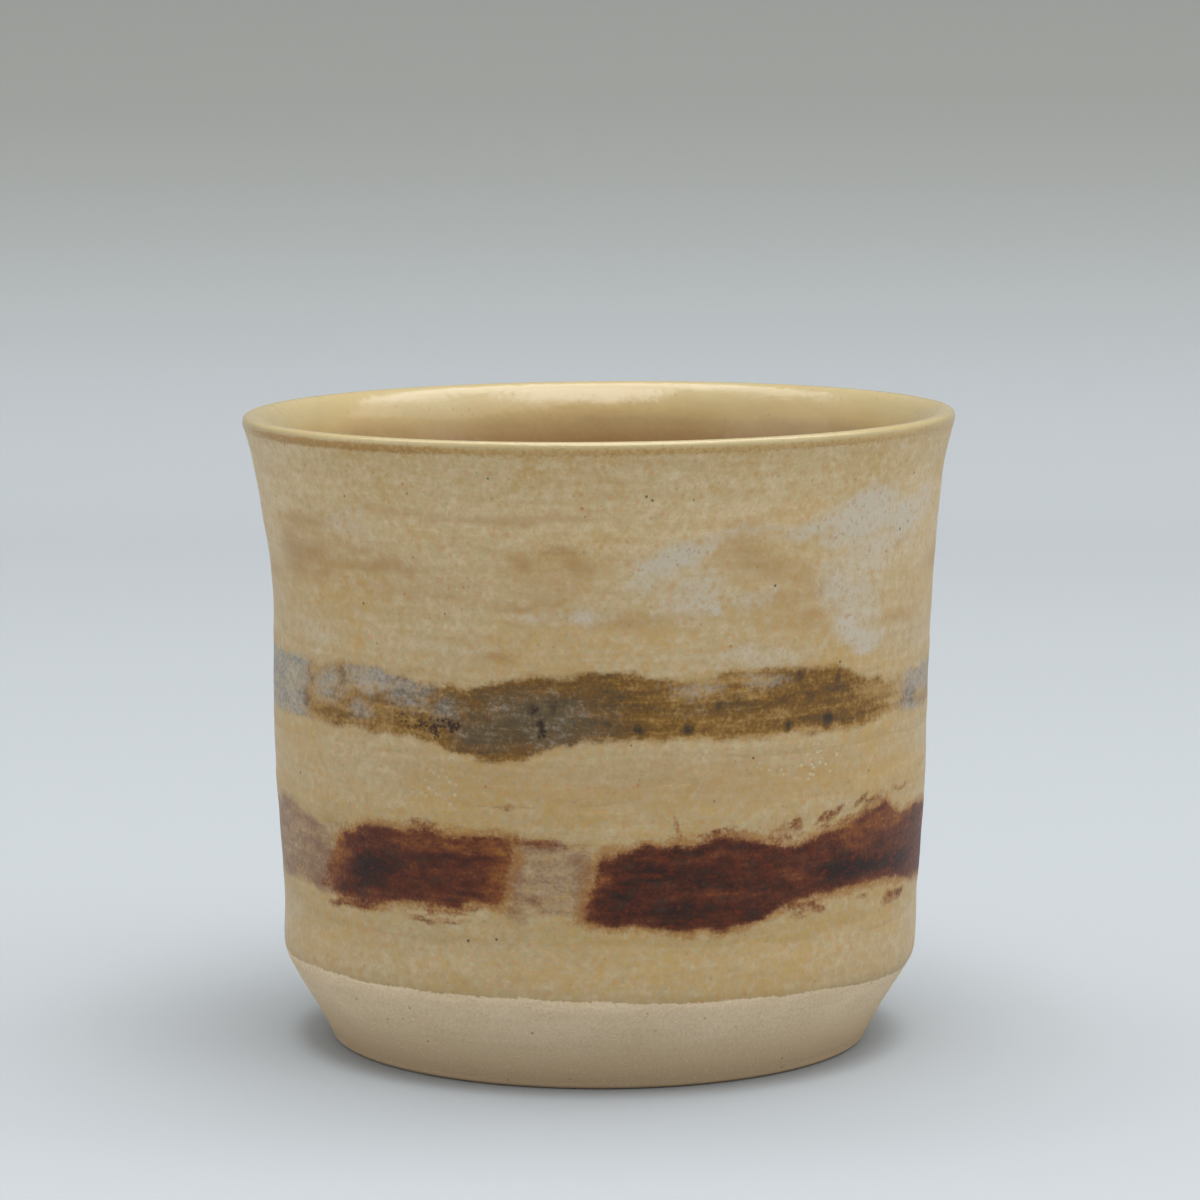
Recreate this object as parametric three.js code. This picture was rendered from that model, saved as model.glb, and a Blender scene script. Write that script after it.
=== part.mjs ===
// A hand-thrown stoneware espresso cup without a handle: the clay body, the two glaze
// coats fired onto it, and the slip strokes brushed round its outside in two bands.
// Millimetres, +Z up. The origin is the middle of the foot, on the table, and angles
// round the cup are in degrees from -Y towards +X.
import * as THREE from 'three';

// Outside shape
const CUP_HEIGHT = 56.7;
const FOOT_RADIUS = 24.1;      // where the bare bevel would meet the table
const FOOT_EDGE = 0.5;         // soft edge between the standing face and the bevel
const SHOULDER_HEIGHT = 8.2;   // top of the bevel, where the glaze ends
const SHOULDER_RADIUS = 28.3;
const RIM_RADIUS = 31.9;       // where the lip starts to round over
const WALL_LEAN = 0.62;        // how far the wall leans out from shoulder to lip
const WALL_BELLY = 0.83;       // how far it swells in the middle
const FLARE_POWER = 6;         // a higher power keeps the flare closer to the lip
const LIP_RISE = 1.1;          // height of the rounded lip

// Clay and glaze
const CLAY_WALL = 3.2;         // at the shoulder
const CLAY_LIP = 1.9;          // where the lip starts to round over
const CLAY_FLOOR = 5;          // from the table to the clay's upper face
const FLOOR_ROUND = 7;         // inside corner between the floor and the wall
const FOOT_RING_WIDTH = 4.6;   // standing ring round the shallow recess
const FOOT_RECESS = 0.8;
const GLAZE_THICKNESS = 0.4;   // satin coat outside
const LINER_THICKNESS = 0.4;   // glossy coat inside, which rolls over the lip

// Brushed bands, stacked upwards from the shoulder
const STROKE_THICKNESS = 0.2;
const STROKE_SEAT = 0.05;      // clearance between a stroke and the glaze under it
const STROKE_TIP_WIDTH = 3.4;  // blunt ends of every stroke
const STROKE_TIP_LENGTH = 4;   // over which an end widens to the full stroke
const STROKE_JOIN = 1;         // degrees between two stroke ends that meet
const IRON_RISE = 6.9;         // from the shoulder to the iron band
const IRON_WIDTH = 7.7;
const IRON_START = -57;        // the short stroke, left of the bare patch
const IRON_SWEEP = 41;
const IRON_BARE = 14;          // bare patch before the long stroke starts
const BAND_SPACING = 7.8;      // from the iron band to the olive one
const OLIVE_WIDTH = 6.2;
const OLIVE_START = -60;
const OLIVE_SWEEP = 117;
const GREY_WIDTH = 5;          // the thin grey stroke that completes the olive band

// Colour and roughness of each finish
const BARE_CLAY = { color: 0xb8a891, roughness: 0.9 };
const HONEY_GLAZE = { color: 0xcdb98c, roughness: 0.15 };
const TAN_GLAZE = { color: 0xb49d75, roughness: 0.45 };
const IRON_SLIP = { color: 0x4a2a20, roughness: 0.4 };
const OLIVE_SLIP = { color: 0x6a5c41, roughness: 0.45 };
const GREY_SLIP = { color: 0x8e877e, roughness: 0.45 };

// Fineness of the faceted surfaces
const FACETS = 56;
const OUTSIDE_STEPS = 9;
const INSIDE_STEPS = 6;
const LIP_STEPS = 6;
const FLOOR_STEPS = 4;
const STROKE_ROWS = 2;
const COLUMN_ANGLE = 4;

const FULL_TURN = 360;
const STEP_CROWDING = 1.5;     // draws the steps of a wall together towards the lip

// The outside of the glazed wall
const lipStart = CUP_HEIGHT - LIP_RISE;
const wallHeight = lipStart - SHOULDER_HEIGHT;
const flare = RIM_RADIUS - SHOULDER_RADIUS - WALL_LEAN;
const lipSlope = (WALL_LEAN - Math.PI * WALL_BELLY + FLARE_POWER * flare) / wallHeight;

function upTheWall(height) {
  return (height - SHOULDER_HEIGHT) / wallHeight;
}

function wallRadius(height) {
  const rise = upTheWall(height);
  const belly = WALL_BELLY * Math.sin(Math.PI * rise);
  return SHOULDER_RADIUS + WALL_LEAN * rise + belly + flare * rise ** FLARE_POWER;
}

// The faces of the clay, each behind its coat of glaze
function clayRadius(height) {
  return wallRadius(height) - GLAZE_THICKNESS;
}

function clayInsideRadius(height) {
  const thickness = THREE.MathUtils.lerp(CLAY_WALL, CLAY_LIP, upTheWall(height));
  return clayRadius(height) - thickness;
}

function linerRadius(height) {
  return clayInsideRadius(height) - LINER_THICKNESS;
}

// Heights from the lip's start down to a lower one, closest together at the lip
function heightsDownTo(lowest, steps) {
  const heights = [];
  for (let step = 0; step <= steps; step += 1) {
    heights.push(lipStart - (lipStart - lowest) * (step / steps) ** STEP_CROWDING);
  }
  return heights;
}

function facePoints(radiusAt, heights) {
  return heights.map((height) => new THREE.Vector2(radiusAt(height), height));
}

// Half an ellipse over the lip from its outside to its inside, sheared to follow the flare
function lipPoints(outside, inside, rise) {
  const middle = (outside + inside) / 2;
  const points = [];
  for (let step = 0; step <= LIP_STEPS; step += 1) {
    const turn = Math.PI * step / LIP_STEPS;
    const up = rise * Math.sin(turn);
    const across = (outside - inside) / 2 * Math.cos(turn);
    points.push(new THREE.Vector2(middle + across + lipSlope * up, lipStart + up));
  }
  return points;
}

// A quarter circle from the wall into the floor, then the floor to the axis
function floorPoints(wall, floorHeight, radius) {
  const points = [];
  for (let step = 1; step <= FLOOR_STEPS; step += 1) {
    const turn = Math.PI / 2 * step / FLOOR_STEPS;
    const across = radius * (1 - Math.cos(turn));
    points.push(new THREE.Vector2(wall - across, floorHeight + radius * (1 - Math.sin(turn))));
  }
  points.push(new THREE.Vector2(0, floorHeight));
  return points;
}

// A coat's inside face: over the lip, down the wall and across the floor to the axis
function insideFace(outsideRadiusAt, insideRadiusAt, rise, floorHeight, floorRound) {
  const wallFoot = CLAY_FLOOR + LINER_THICKNESS + FLOOR_ROUND;
  return [
    ...lipPoints(outsideRadiusAt(lipStart), insideRadiusAt(lipStart), rise),
    ...facePoints(insideRadiusAt, heightsDownTo(wallFoot, INSIDE_STEPS)).slice(1),
    ...floorPoints(insideRadiusAt(wallFoot), floorHeight, floorRound),
  ];
}

// The underside from the axis, out over the recess and the standing ring, and up the bevel
function footFace() {
  const bevelSlope = (SHOULDER_RADIUS - FOOT_RADIUS) / SHOULDER_HEIGHT;
  const standingRadius = FOOT_RADIUS - FOOT_EDGE;
  const ringInside = standingRadius - FOOT_RING_WIDTH;
  return [
    new THREE.Vector2(0, FOOT_RECESS),
    new THREE.Vector2(ringInside - FOOT_RECESS, FOOT_RECESS),
    new THREE.Vector2(ringInside, 0),
    new THREE.Vector2(standingRadius, 0),
    new THREE.Vector2(FOOT_RADIUS + FOOT_EDGE * bevelSlope, FOOT_EDGE),
    new THREE.Vector2(SHOULDER_RADIUS, SHOULDER_HEIGHT),
  ];
}

// Neighbouring pieces share these faces point for point
const outsideHeights = heightsDownTo(SHOULDER_HEIGHT, OUTSIDE_STEPS).reverse();
const glazeFace = facePoints(wallRadius, outsideHeights);
const clayFace = facePoints(clayRadius, outsideHeights);
const linerFace = insideFace(
  wallRadius,
  linerRadius,
  LIP_RISE,
  CLAY_FLOOR + LINER_THICKNESS,
  FLOOR_ROUND,
);
const clayInsideFace = insideFace(
  clayRadius,
  clayInsideRadius,
  LIP_RISE - LINER_THICKNESS,
  CLAY_FLOOR,
  FLOOR_ROUND + LINER_THICKNESS,
);

function turned(profile) {
  const geometry = new THREE.LatheGeometry(profile, FACETS);
  geometry.rotateX(Math.PI / 2);
  return geometry;
}

function clayBody() {
  return turned([...footFace(), ...clayFace, ...clayInsideFace.slice(1)]);
}

function outerGlaze() {
  return turned([...glazeFace, ...clayFace.toReversed(), glazeFace[0]]);
}

function linerGlaze() {
  return turned([...clayInsideFace.toReversed(), ...linerFace]);
}

// A flat slab bent round the wall, narrower at its two blunt ends
function brushStroke(start, sweep, middle, width) {
  const columns = Math.ceil(sweep / COLUMN_ANGLE);
  const slab = new THREE.BoxGeometry(1, 1, 1, columns, STROKE_ROWS, 1);
  const length = THREE.MathUtils.degToRad(sweep) * wallRadius(middle);
  const position = slab.getAttribute('position');
  for (let index = 0; index < position.count; index += 1) {
    const along = position.getX(index) + 0.5;
    const fromEnd = Math.min(along, 1 - along) * length;
    const widening = Math.sin(Math.PI / 2 * Math.min(fromEnd / STROKE_TIP_LENGTH, 1));
    const height = middle + position.getY(index)
      * THREE.MathUtils.lerp(STROKE_TIP_WIDTH, width, widening);
    const radius = wallRadius(height) + STROKE_SEAT
      + STROKE_THICKNESS * (position.getZ(index) + 0.5);
    const angle = THREE.MathUtils.degToRad(start + sweep * along);
    position.setXYZ(index, radius * Math.sin(angle), -radius * Math.cos(angle), height);
  }
  slab.computeVertexNormals();
  return slab;
}

const ironBottom = SHOULDER_HEIGHT + IRON_RISE;
const ironMiddle = ironBottom + IRON_WIDTH / 2;
const oliveMiddle = ironBottom + IRON_WIDTH + BAND_SPACING + OLIVE_WIDTH / 2;

function ironStrokeShort() {
  return brushStroke(IRON_START, IRON_SWEEP, ironMiddle, IRON_WIDTH);
}

function ironStrokeLong() {
  const start = IRON_START + IRON_SWEEP + IRON_BARE;
  const sweep = FULL_TURN - IRON_SWEEP - IRON_BARE - STROKE_JOIN;
  return brushStroke(start, sweep, ironMiddle, IRON_WIDTH);
}

function oliveStroke() {
  return brushStroke(OLIVE_START, OLIVE_SWEEP, oliveMiddle, OLIVE_WIDTH);
}

function greyStroke() {
  const start = OLIVE_START + OLIVE_SWEEP + STROKE_JOIN;
  const sweep = FULL_TURN - OLIVE_SWEEP - 2 * STROKE_JOIN;
  return brushStroke(start, sweep, oliveMiddle, GREY_WIDTH);
}

function piece(name, geometry, finish) {
  const mesh = new THREE.Mesh(geometry, new THREE.MeshStandardMaterial({ ...finish, metalness: 0 }));
  mesh.name = name;
  return mesh;
}

const cup = new THREE.Group();
cup.add(
  piece('clay_body', clayBody(), BARE_CLAY),
  piece('liner_glaze', linerGlaze(), HONEY_GLAZE),
  piece('outer_glaze', outerGlaze(), TAN_GLAZE),
  piece('iron_stroke_short', ironStrokeShort(), IRON_SLIP),
  piece('iron_stroke_long', ironStrokeLong(), IRON_SLIP),
  piece('olive_stroke', oliveStroke(), OLIVE_SLIP),
  piece('grey_stroke', greyStroke(), GREY_SLIP),
);

export default cup;
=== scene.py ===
import math

import bpy
import numpy as np
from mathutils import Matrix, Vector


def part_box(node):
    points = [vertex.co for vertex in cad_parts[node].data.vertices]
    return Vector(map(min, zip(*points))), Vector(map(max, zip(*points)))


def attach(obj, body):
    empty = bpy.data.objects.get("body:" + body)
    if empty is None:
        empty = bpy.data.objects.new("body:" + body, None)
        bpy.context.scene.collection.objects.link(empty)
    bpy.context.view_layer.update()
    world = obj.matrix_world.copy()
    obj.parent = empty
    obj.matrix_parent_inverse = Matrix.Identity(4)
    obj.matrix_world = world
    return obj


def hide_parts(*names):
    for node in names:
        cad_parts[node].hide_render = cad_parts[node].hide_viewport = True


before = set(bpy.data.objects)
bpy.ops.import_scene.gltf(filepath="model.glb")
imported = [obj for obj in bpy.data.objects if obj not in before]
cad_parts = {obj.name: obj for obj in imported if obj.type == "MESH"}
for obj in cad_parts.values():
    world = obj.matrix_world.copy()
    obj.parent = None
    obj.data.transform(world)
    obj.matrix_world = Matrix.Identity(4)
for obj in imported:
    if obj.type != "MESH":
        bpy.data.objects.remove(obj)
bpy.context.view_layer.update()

# A hand-thrown stoneware espresso cup: bare clay, two glazes and four strokes of slip.
# Sizes below are in millimetres, and angles in degrees round the cup from -Y towards +X.
MM = 0.001

# How far the coats stand over the clay
GLAZE_STEP = 0.025       # the outside glaze over the bare bevel
LINER_STEP = 0.15
COAT_DEPTH = 0.3         # how deep the hidden back of a coat lies in the clay
GLAZE_ROLL = 0.8         # height over which its lower edge thins out
GLAZE_HIDDEN = 0.35      # how much of that lies under the clay's face
EDGE_SINK = 0.03         # how far its very edge lies under it
SHOULDER_SOFTNESS = 0.22
SHOULDER_DROP = 0.12     # how far the bevel stands out, which lowers its corner with the wall
DROP_HEIGHTS = (2, 6)    # where that starts and where it is full
LIP_FULLNESS = 0.85      # 1 is a plain quarter ellipse, and less is squarer
LIP_CREST = 1.0          # from the outside of the lip in to its crest
LIP_SLOPE = 3.8          # depth over which the lip slopes into the inside wall
LIP_OVERLAP = 0.45       # how far the two coats run under each other at the lip
OVERLAP_SINK = 0.05

# Marks of the hand. The wall leans to the right and swells outwards: distance, middle height, half height
LEANS = [(0.23, 20, 14), (0.36, 42, 8)]
SWELLS = [(0.36, 8.5, 3.5), (0.13, 26, 5), (0.18, 48, 4)]
RIM_TILT = 0.008         # the right side of the lip is a little higher
OUT_OF_ROUND = 0.0025
OUTSIDE_RIPPLE = 0.015
OUTSIDE_PITCH = 4.7      # climb of the throwing spiral in one turn
INSIDE_RIPPLE = 0.11
INSIDE_PITCH = 6.2
LUMP_HEIGHT = 0.03
OUTSIDE_FADE = 4         # distance from the foot and the lip over which these marks set in
INSIDE_FADE = (8, 6)     # the same inside, from the lip and from the corner of the floor
WANDER_ALONG = (0.9, 0.5)  # how far marks on the glaze stray round the cup, broadly and finely
WANDER_UP = (0.55, 0.35)  # the same upwards
LINE_WAVE = (0.1, 0.07)  # how far the lower edge of the glaze waves, broadly and finely
FLOOR_SWIRL = 0.06       # height of the spiral left on the floor inside
FOOT_RINGS = 0.05        # height of the rings turned in the recess under the foot

# Slip strokes over the glaze
STROKE_LIFT = 0.035      # how far the painted slip stands proud
OVER_LIFT = 0.05         # the same for a stroke whose ends lie over another's
STROKE_SINK = 0.04       # how far its unpainted margin lies under the glaze
STROKE_BACK = 0.18       # depth of its hidden back
STROKE_REACH = 1.6       # from the painted edge to where the margin goes under
STROKE_SLOPE = 0.9       # half the distance over which it goes under
BORDER_SLOPE = 0.3       # how steeply a layer may rise from its own border
STROKE_LEVEL = 20        # the height at which angles along a stroke are turned into lengths
END_SOFTNESS = 0.6       # ends of a stroke fade more slowly than its sides by this share
CORNER_SOFTNESS = 0.6    # rounding where its ends meet its sides
SHORT_SLANT = 1.3        # degrees by which its start shifts for each mm upwards
LONG_SLANT = 0.4

# Where each stroke's paint starts and ends, in degrees
SHORT_ENDS = (-56, -15.5)
LONG_ENDS = (-2.2, 303)
OLIVE_ENDS = (-63, 59.5)
GREY_ENDS = (57, 301)

# The layer that holds each stroke, wider than its paint: first and last angle, lowest and highest point
SHORT_LAYER = (-67, 4, 12.2, 27.6)
LONG_LAYER = (-11, 312, 12.2, 27.6)
OLIVE_LAYER = (-71, 68, 27, 39.8)
GREY_LAYER = (48, 310, 28, 38.9)

# Fineness of the meshes
RING = 480
STROKE_STEP = 0.3
HIDDEN_SHARE = 0.1       # how finely a hidden row is mapped beside one that shows

# Lower edge of the outside glaze: angle, height
GLAZE_LINE = [
    (-180, 7.9), (-110, 8.1), (-72, 8.3), (-49, 8.5), (-15, 8.6), (-2, 8.5), (13, 8.25), (40, 8.0),
    (63, 7.35), (75, 7.1), (110, 7.5), (180, 7.9),
]

# Edges of the strokes: angle, height
SHORT_TOP = [
    (-57, 21.2), (-52, 21.6), (-48, 22.1), (-44, 22.8), (-40, 23.0), (-33, 23.0), (-30.5, 23.2),
    (-28, 23.0), (-20, 23.1), (-15, 23.1),
]
SHORT_LOW = [(-57, 16.5), (-50, 15.8), (-44, 15.8), (-38, 16.1), (-30, 16.3), (-20, 16.4), (-15, 16.9)]
LONG_TOP = [
    (-2, 21.3), (3, 22.0), (7, 22.4), (14, 22.4), (18, 22.7), (22, 22.7), (26, 22.5), (30, 22.3),
    (33, 21.8), (37, 21.9), (42, 22.1), (48, 22.6), (52, 23.1), (57, 23.6), (62, 23.0), (66, 22.4),
    (80, 21.9), (94, 22.6), (106, 22.0), (120, 22.4), (138, 23.1), (150, 22.5), (166, 22.2), (180, 22.9),
    (197, 22.1), (212, 22.7), (226, 23.0), (240, 22.3), (258, 22.6), (284, 23.3), (290, 23.4),
    (298, 22.7), (304, 21.9),
]
LONG_LOW = [
    (-2, 15.5), (2, 15.25), (8, 15.05), (16, 14.85), (22, 14.75), (28, 15.3), (32, 16.1), (37, 16.3),
    (45, 16.5), (55, 16.6), (62, 16.2), (80, 15.5), (98, 15.9), (114, 15.2), (132, 15.7), (158, 14.9),
    (174, 15.6), (196, 15.1), (214, 15.8), (238, 15.4), (260, 15.8), (304, 15.8),
]
OLIVE_TOP = [
    (-60, 36.0), (-48, 36.8), (-42, 36.8), (-35, 36.1), (-28, 35.6), (-22, 35.5), (-19, 36.0),
    (-16, 36.6), (-12, 37.0), (0, 37.1), (5, 37.0), (10, 36.7), (14, 36.5), (18, 36.5), (22, 36.8),
    (30, 37.0), (40, 36.6), (45, 36.3), (50, 35.6), (54, 34.9), (58, 34.0),
]
OLIVE_LOW = [
    (-60, 30.9), (-50, 31.1), (-45, 31.3), (-40, 30.9), (-35, 31.0), (-30, 30.5), (-26, 30.0),
    (-18, 29.5), (-14, 29.6), (-10, 30.2), (-6, 30.9), (-2, 31.4), (5, 31.6), (15, 31.3), (20, 31.1),
    (30, 30.9), (50, 30.9), (56, 31.1), (59, 31.8),
]
GREY_TOP = [
    (58, 34.5), (66, 34.7), (80, 34.8), (96, 35.4), (110, 35.0), (126, 35.6), (150, 35.2), (170, 36.0),
    (190, 35.5), (214, 36.1), (232, 35.3), (254, 35.8), (275, 36.2), (299, 36.3),
]
GREY_LOW = [
    (58, 31.2), (70, 30.8), (88, 31.2), (108, 30.5), (130, 31.1), (152, 30.6), (172, 30.2), (196, 30.9),
    (220, 30.4), (244, 31.1), (275, 30.6), (299, 30.9),
]

# Soft marks: angle, height, half width in degrees, half height, climb in mm per degree, strength
PALE = [
    (50, 46, 8, 2, 0, 0.6), (62, 46, 5, 1.5, 0, 0.4), (24, 42.6, 4, 1.1, 0, 0.5),
    (26, 37.8, 16, 1.1, 0, 0.45), (17, 40.5, 6, 1.2, 0, 0.32), (-57, 39.3, 10, 2.5, 0, 0.36),
    (-20, 39, 18, 0.7, 0, 0.3), (-46, 49.2, 7, 1.6, 0.05, 0.42), (-40, 48, 6, 1, 0, 0.3),
    (-56, 50.3, 7, 0.5, -0.03, 0.35), (-4, 41.8, 5, 0.8, 0.03, 0.6), (-11, 42, 3, 0.7, 0, 0.45),
    (12, 46.9, 8, 1.4, 0.14, 0.75), (16, 48, 3, 0.9, 0, 0.5), (27, 48.8, 10, 0.45, 0.03, 0.5),
    (37, 48.7, 6, 1, 0.08, 0.75), (48, 49, 11, 2.4, 0.08, 0.95), (58, 48.5, 8, 2.2, 0, 0.75),
    (44, 42.5, 7, 3, -0.25, 0.65), (49, 42, 5, 3, 0, 0.6), (46, 39.6, 4.5, 1.6, 0, 0.85),
    (50, 38.5, 5, 1.2, 0, 0.8), (18, 42.4, 2, 0.9, 0, 0.9), (15, 43.5, 7, 2.2, 0.1, 0.6),
    (8, 45.3, 6, 1.6, 0.2, 0.5), (66, 49.5, 7, 1.5, 0, 0.6), (28.5, 43, 0.5, 1.2, 0, 0.6),
    (36.7, 43.5, 0.5, 1.5, 0, 0.5), (88, 47.5, 10, 1.3, 0.12, 0.7), (104, 42, 7, 2, -0.15, 0.6),
    (141, 48.2, 13, 1.6, 0.05, 0.75), (152, 43.5, 6, 1.2, 0.2, 0.6), (186, 41.5, 9, 1.8, -0.1, 0.65),
    (203, 48.8, 11, 1.2, 0.08, 0.7), (238, 46.3, 12, 1.7, -0.06, 0.7), (252, 41.2, 6, 1.5, 0, 0.55),
    (272, 49.5, 9, 1, 0, 0.5),
]
DABS = [
    (-58, 48.7, 9, 1.2, 0, 0.5), (38.5, 43.8, 4, 0.9, 0, 0.4), (36, 40.2, 10, 0.7, 0, 0.35),
    (-18, 50.2, 22, 0.5, 0, 0.4), (-8, 44.6, 7, 1.2, 0, 0.3), (-30, 44.2, 9, 1.3, 0, 0.22),
    (-62, 46, 6, 2.5, 0, 0.62), (-57, 45.8, 6, 1.2, 0.05, 0.6), (-53, 44.5, 6, 1.2, 0, 0.45),
    (-40, 45.4, 11, 0.7, 0, 0.5), (-36, 45.1, 6, 0.35, 0, 0.55), (-45, 47, 8, 0.6, 0, 0.35),
    (-42, 43.3, 9, 0.7, 0, 0.3), (-9, 45, 8, 3, 0, 0.2), (-6, 47, 3, 0.6, 0.03, 0.75),
    (-12.5, 46.3, 2.2, 0.7, -0.15, 0.5), (-3.5, 45.8, 2.5, 0.8, 0.05, 0.5),
    (-9, 43.5, 5, 0.45, 0.05, 0.55), (-14, 43.1, 3, 0.4, 0, 0.5), (25, 47, 5, 2.2, 0, 0.42),
    (27, 45.5, 6, 1.2, -0.05, 0.5), (33.5, 44.8, 3.5, 0.9, 0, 0.45), (30, 42.2, 6, 1.6, 0, 0.3),
    (36, 41.2, 4, 0.8, -0.05, 0.5), (5, 41.3, 6, 0.8, 0, 0.45), (60, 40.3, 6, 0.6, 0.02, 0.45),
    (58, 46.5, 2, 0.4, 0, 0.45), (-17, 38.3, 3, 0.6, 0, 0.6), (10, 27.5, 45, 2.2, 0, 0.25),
    (120, 45, 9, 1.4, 0.03, 0.5), (80, 43.5, 7, 1, 0, 0.45), (97, 50.5, 10, 0.8, 0, 0.4),
    (128, 39.5, 8, 0.7, 0, 0.5), (170, 47, 8, 1, 0, 0.5), (163, 44.6, 7, 0.6, 0.05, 0.55),
    (214, 44.5, 9, 1.2, 0, 0.5), (222, 42, 6, 0.5, 0, 0.55), (262, 45.5, 9, 1.3, 0, 0.45),
    (284, 43.2, 6, 0.7, 0, 0.45),
]
PITTED = [(-27.5, 26.5, 5.5, 1.6, 0, 1), (39, 28.4, 9, 1.5, 0, 1)]
IRON_WISPS = [
    (-15.5, 25.5, 6, 0.28, 0, 0.42), (12.3, 23.6, 0.5, 1.2, 0, 0.6), (32.5, 22.9, 4, 0.8, 0.05, 0.6),
    (34.7, 23.5, 1.4, 0.7, 0, 0.7), (42, 23.5, 4, 0.4, 0.14, 0.7), (50.5, 24.35, 2.5, 0.4, 0.2, 0.6),
    (54.5, 24.1, 4, 0.4, 0.08, 0.7), (63, 24.9, 6, 0.35, 0.02, 0.5), (35.5, 14.9, 3, 0.4, 0, 0.5),
    (40, 15.5, 2.5, 0.5, 0, 0.7), (51.5, 15.5, 2.5, 0.4, 0, 0.5), (63.5, 14.75, 6.5, 0.7, 0.03, 0.75),
    (-30, 15.1, 8, 0.3, 0, 0.6), (-27, 16.0, 7, 0.4, 0, 0.6), (-49, 15.4, 7, 0.6, 0.03, 0.8),
    (36, 16, 5, 0.7, 0, 0.6), (-30.5, 23.5, 5, 0.5, 0, 0.5), (-11, 22.5, 6, 0.8, 0, 0.6),
    (-4, 22.2, 4, 0.4, 0, 0.4), (-53, 16.9, 5, 0.45, 0, 0.8), (20, 23.1, 5, 0.5, 0, 0.6),
    (-11.5, 17.5, 1.5, 0.7, 0, 0.35), (-8, 16.3, 6, 0.3, 0, 0.3), (46, 22.8, 8, 0.5, 0.05, 0.5),
    (92, 23.6, 6, 0.4, 0.05, 0.6), (117, 14.4, 7, 0.4, 0, 0.6), (145, 23.9, 6, 0.4, 0.04, 0.6),
    (179, 14.6, 8, 0.4, 0.02, 0.6), (203, 23.1, 7, 0.4, 0, 0.6), (233, 14.6, 7, 0.4, 0, 0.5),
]
IRON_LOADS = [
    (-44, 18.8, 6, 1.9, 0, 0.26), (-50, 17, 5, 0.6, 0, 0.25), (-30, 21.9, 14, 1.0, 0, -0.16),
    (-18, 20, 3, 3, 0, -0.1), (47, 18.5, 7, 1.0, 0, 0.3), (60, 18.1, 9, 0.9, 0.01, 0.26),
    (52, 21.4, 14, 1.3, 0.06, -0.15), (64, 22.4, 5, 0.9, 0, -0.2), (18, 17.6, 14, 0.4, 0, -0.14),
    (24, 21.1, 6, 0.6, 0, -0.16), (35, 19.5, 4, 2.2, 0, -0.12), (10, 21.0, 6, 0.4, 0, -0.14),
    (10, 19.8, 9, 0.6, 0, 0.12), (14, 16.4, 12, 0.5, 0, 0.1), (16, 21.9, 12, 0.4, 0, 0.1),
    (0.4, 19.6, 1.4, 0.6, 0, -0.3), (88, 20.8, 11, 1.0, 0.02, -0.18), (104, 17.6, 13, 0.9, 0, 0.2),
    (133, 20.9, 15, 1.0, 0.02, -0.18), (152, 18, 13, 1.2, 0, 0.2), (185, 20.6, 15, 1.1, 0, -0.18),
    (203, 17.5, 12, 1.0, 0, 0.18), (224, 20, 10, 1.2, 0, -0.12),
]

# How loaded the short iron stroke and the olive one are: angle, strength
SHORT_LOAD = [
    (-60, 0.0), (-55, 0.12), (-51, 0.28), (-46, 0.5), (-40, 0.56), (-25, 0.52), (-19, 0.46), (-14, 0.36),
]
OLIVE_LOAD = [
    (-66, 0.3), (-58, 0.32), (-42, 0.34), (-30, 0.42), (-22, 0.54), (0, 0.56), (8, 0.5), (15, 0.42),
    (25, 0.46), (36, 0.5), (50, 0.46), (58, 0.28),
]

# How loaded the long iron stroke is, and how much thin wash it leaves: degrees from its start, strength
LONG_LOAD = [
    (0, 0.5), (4, 0.66), (40, 0.62), (60, 0.5), (75, 0.48), (160, 0.48), (230, 0.3), (270, 0.05),
    (305, 0.0), (360, 0.5),
]
LONG_WASH = [(0, 0.25), (160, 0.25), (240, 0.45), (270, 0.6), (318, 0.68), (330, 0.25), (360, 0.25)]

# More soft marks: the iron stroke's thin wash, then what varies the olive and grey slip
IRON_WASH = [
    (-8.5, 19.5, 8, 3.6, 0, 0.5), (-3.5, 19.2, 3, 3.2, 0, 0.7), (-11, 22.2, 6, 0.9, 0, 0.75),
    (-14.5, 18.6, 3, 3, 0, 0.7), (-11.5, 17.4, 2, 0.9, 0, 0.7), (-7, 16.6, 6, 0.7, 0, 0.55),
    (-52, 19.4, 7, 3, 0, 0.75),
]
OLIVE_LOADS = [
    (-6, 33.8, 13, 2.6, 0, 0.1), (-20, 31.5, 8, 1.5, 0, 0.14), (-31, 32.3, 7, 1, 0, 0.14),
    (-46, 35.4, 12, 1.2, 0, -0.06), (-48, 31.8, 9, 0.8, 0, 0.14), (16, 35.7, 6, 0.9, 0, -0.2),
    (27, 36.0, 6, 0.7, 0, -0.2), (41, 34.6, 7, 0.35, 0, 0.2), (27, 33.9, 9, 0.5, 0, 0.2),
    (24, 34.7, 6, 0.3, 0, -0.14), (25, 32.6, 12, 0.3, 0, -0.12), (-60, 32.8, 1.6, 1.1, 0, 0.3),
    (-49.8, 35.1, 1.1, 1.2, 0, 0.18), (35, 31.2, 22, 0.4, 0, -0.16), (47, 32.2, 11, 0.4, 0, 0.16),
    (52, 34.2, 5, 0.8, -0.1, -0.12),
]
GREY_LOADS = [
    (67, 32.3, 4, 1, 0, 0.25), (90, 33.8, 9, 1, 0.03, 0.2), (118, 32.2, 16, 0.8, 0, 0.26),
    (148, 34.2, 12, 0.9, 0, 0.2), (183, 32.6, 18, 1.1, 0, 0.28), (214, 34.4, 14, 1, 0, 0.22),
    (243, 32.2, 14, 0.9, 0, 0.26), (272, 34.4, 9, 0.9, 0, 0.15), (293, 33.7, 4, 1.5, 0, -0.12),
]
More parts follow.
